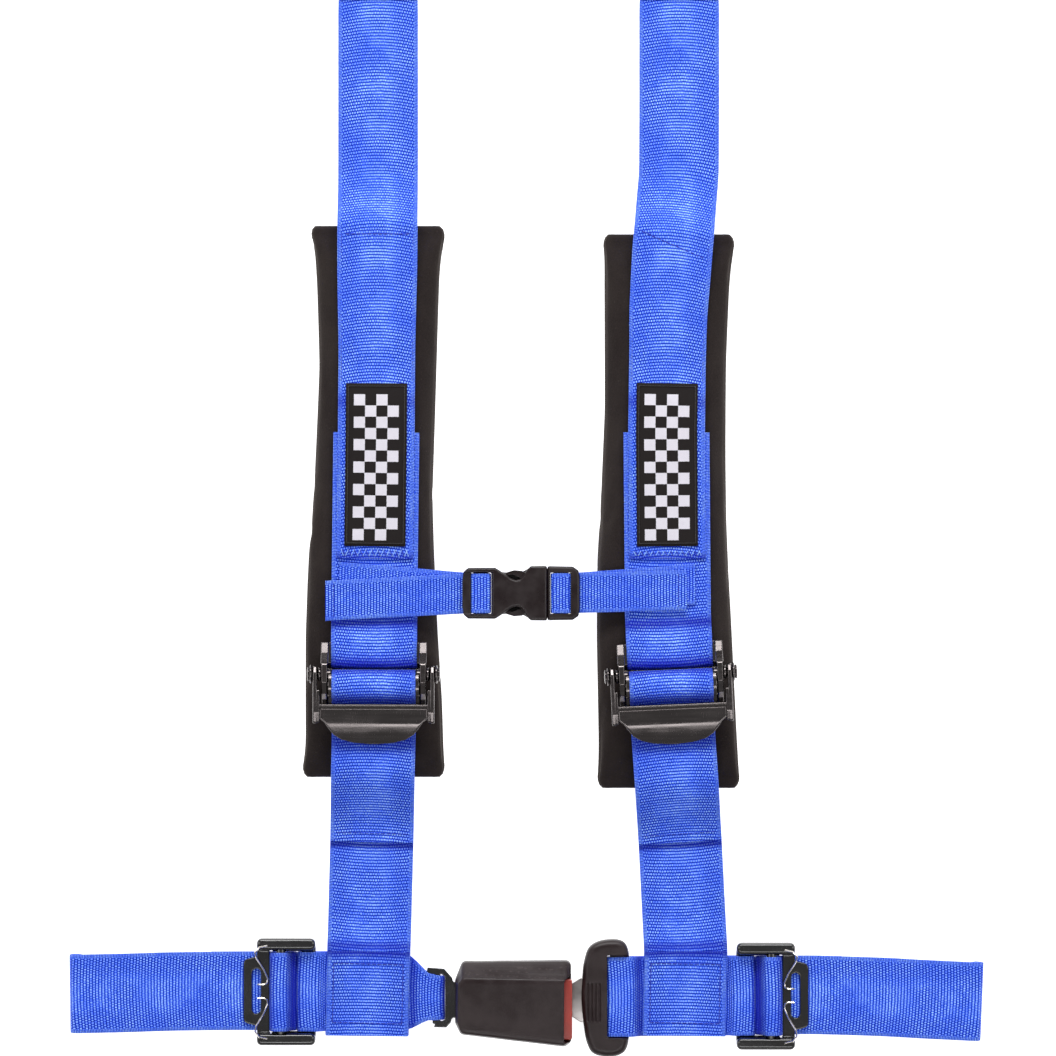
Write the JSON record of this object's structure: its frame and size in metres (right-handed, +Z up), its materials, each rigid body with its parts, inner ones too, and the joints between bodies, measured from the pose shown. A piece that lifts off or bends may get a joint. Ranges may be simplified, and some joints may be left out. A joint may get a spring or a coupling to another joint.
{
  "type": "racing harness",
  "caption": "Racing harness laid flat: padded shoulder straps with lever adjusters, a chest strap with a side-release clip, and lap straps with a push-button latch buckle.",
  "frame": {"origin": "centre of the laid-out harness in plan, on the table it lies on", "axes": "+X across the wearer's chest from the buckle half to the tongue half, +Y from the lap towards the shoulders, +Z up from the table"},
  "size_m": [0.5802, 0.7756, 0.0358],
  "materials": {
    "webbing": "woven polyester webbing, satin",
    "pad_fabric": "matte knit",
    "label_fabric": "woven label",
    "gunmetal": "black chrome",
    "black_steel": "gloss black",
    "bare_steel": "zinc plated",
    "black_plastic": "fine texture",
    "red_plastic": "satin"
  },
  "bodies": {
    "root": {"left_shoulder_strap": "webbing", "left_shoulder_pad": "pad_fabric", "left_pad_label": "label_fabric", "left_adjuster_webbing": "webbing", "left_adjuster_frame": "gunmetal", "left_adjuster_axle": "gunmetal", "left_lower_strap": "webbing", "left_junction_patch": "webbing", "left_lap_strap": "webbing", "left_lap_adjuster_frame": "black_steel", "left_lap_spring_upper": "bare_steel", "left_lap_spring_lower": "bare_steel", "left_lap_bracket": "bare_steel", "left_buckle_webbing": "webbing", "left_chest_strap": "webbing", "buckle_bottom_cover": "black_plastic", "buckle_top_cover": "black_plastic", "buckle_frame": "black_steel", "latch_pivot_pin": "bare_steel", "ejector_spring": "bare_steel", "chest_buckle_female": "black_plastic"},
    "right_half": {"right_shoulder_strap": "webbing", "right_shoulder_pad": "pad_fabric", "right_pad_label": "label_fabric", "right_adjuster_webbing": "webbing", "right_adjuster_frame": "gunmetal", "right_adjuster_axle": "gunmetal", "right_lower_strap": "webbing", "right_junction_patch": "webbing", "right_lap_strap": "webbing", "right_lap_adjuster_frame": "black_steel", "right_lap_spring_upper": "bare_steel", "right_lap_spring_lower": "bare_steel", "right_lap_bracket": "bare_steel", "right_buckle_webbing": "webbing", "right_chest_strap": "webbing", "tongue_plate": "bare_steel", "tongue_grip": "black_plastic", "chest_buckle_male": "black_plastic"},
    "left_lever": {"left_adjuster_lever": "gunmetal"},
    "right_lever": {"right_adjuster_lever": "gunmetal"},
    "left_lap_bar": {"left_lap_adjuster_bar": "black_steel"},
    "right_lap_bar": {"right_lap_adjuster_bar": "black_steel"},
    "left_shoulder_eye": {"left_shoulder_bracket": "bare_steel"},
    "right_shoulder_eye": {"right_shoulder_bracket": "bare_steel"},
    "chest_upper_prong": {"chest_prong_upper": "black_plastic"},
    "chest_lower_prong": {"chest_prong_lower": "black_plastic"},
    "red_button": {"release_button": "red_plastic", "button_spring": "bare_steel"},
    "pawl": {"latch_pawl": "bare_steel"},
    "ejector_block": {"ejector": "black_plastic"}
  },
  "joints": [
    {"name": "harness_open", "type": "slide", "parent": "root", "child": "right_half", "axis": [1, 0, 0], "range_m": [0, 0.06]},
    {"name": "left_lever_turn", "type": "hinge", "parent": "root", "child": "left_lever", "pos_m": [-0.0961, -0.1449, 0.0289], "axis": [-1, 0.0027, 0], "range_deg": [0, 85]},
    {"name": "left_bracket_turn", "type": "hinge", "parent": "root", "child": "left_shoulder_eye", "pos_m": [-0.094, 0.3338, 0.0043], "axis": [1, 0, 0], "range_deg": [0, 90]},
    {"name": "left_lap_bar_slide", "type": "slide", "parent": "root", "child": "left_lap_bar", "axis": [-1, 0, 0], "range_m": [0, 0.002], "stiffness_N_per_m": 300},
    {"name": "right_lever_turn", "type": "hinge", "parent": "right_half", "child": "right_lever", "pos_m": [0.09136, -0.1449, 0.0289], "axis": [-0.999, -0.044, 0], "range_deg": [0, 85]},
    {"name": "right_bracket_turn", "type": "hinge", "parent": "right_half", "child": "right_shoulder_eye", "pos_m": [0.0974, 0.3338, 0.0043], "axis": [1, 0, 0], "range_deg": [0, 90]},
    {"name": "right_lap_bar_slide", "type": "slide", "parent": "right_half", "child": "right_lap_bar", "axis": [1, 0, 0], "range_m": [0, 0.002], "stiffness_N_per_m": 300},
    {"name": "chest_prong_upper_flex", "type": "hinge", "parent": "right_half", "child": "chest_upper_prong", "pos_m": [0.0124, -0.0852, 0.022], "axis": [0, 0, 1], "range_deg": [0, 6], "stiffness_Nm_per_rad": 0.4},
    {"name": "chest_prong_lower_flex", "type": "hinge", "parent": "right_half", "child": "chest_lower_prong", "pos_m": [0.0124, -0.1024, 0.022], "axis": [0, 0, 1], "range_deg": [-6, 0], "stiffness_Nm_per_rad": 0.4},
    {"name": "button_press", "type": "slide", "parent": "root", "child": "red_button", "axis": [-1, 0, 0], "range_m": [0, 0.004], "stiffness_N_per_m": 400},
    {"name": "pawl_lift", "type": "hinge", "parent": "root", "child": "pawl", "pos_m": [-0.018, -0.3522, 0.0136], "axis": [0, -1, 0], "range_deg": [-0.1, 8.1]},
    {"name": "ejector_slide", "type": "slide", "parent": "root", "child": "ejector_block", "axis": [1, 0, 0], "range_m": [-0.0001, 0.0073]}
  ],
  "couplings": [
    {"joint": "pawl_lift", "follows": "button_press", "rad_per_m": 34.9},
    {"joint": "ejector_slide", "follows": "harness_open", "ratio": 0.12}
  ]
}
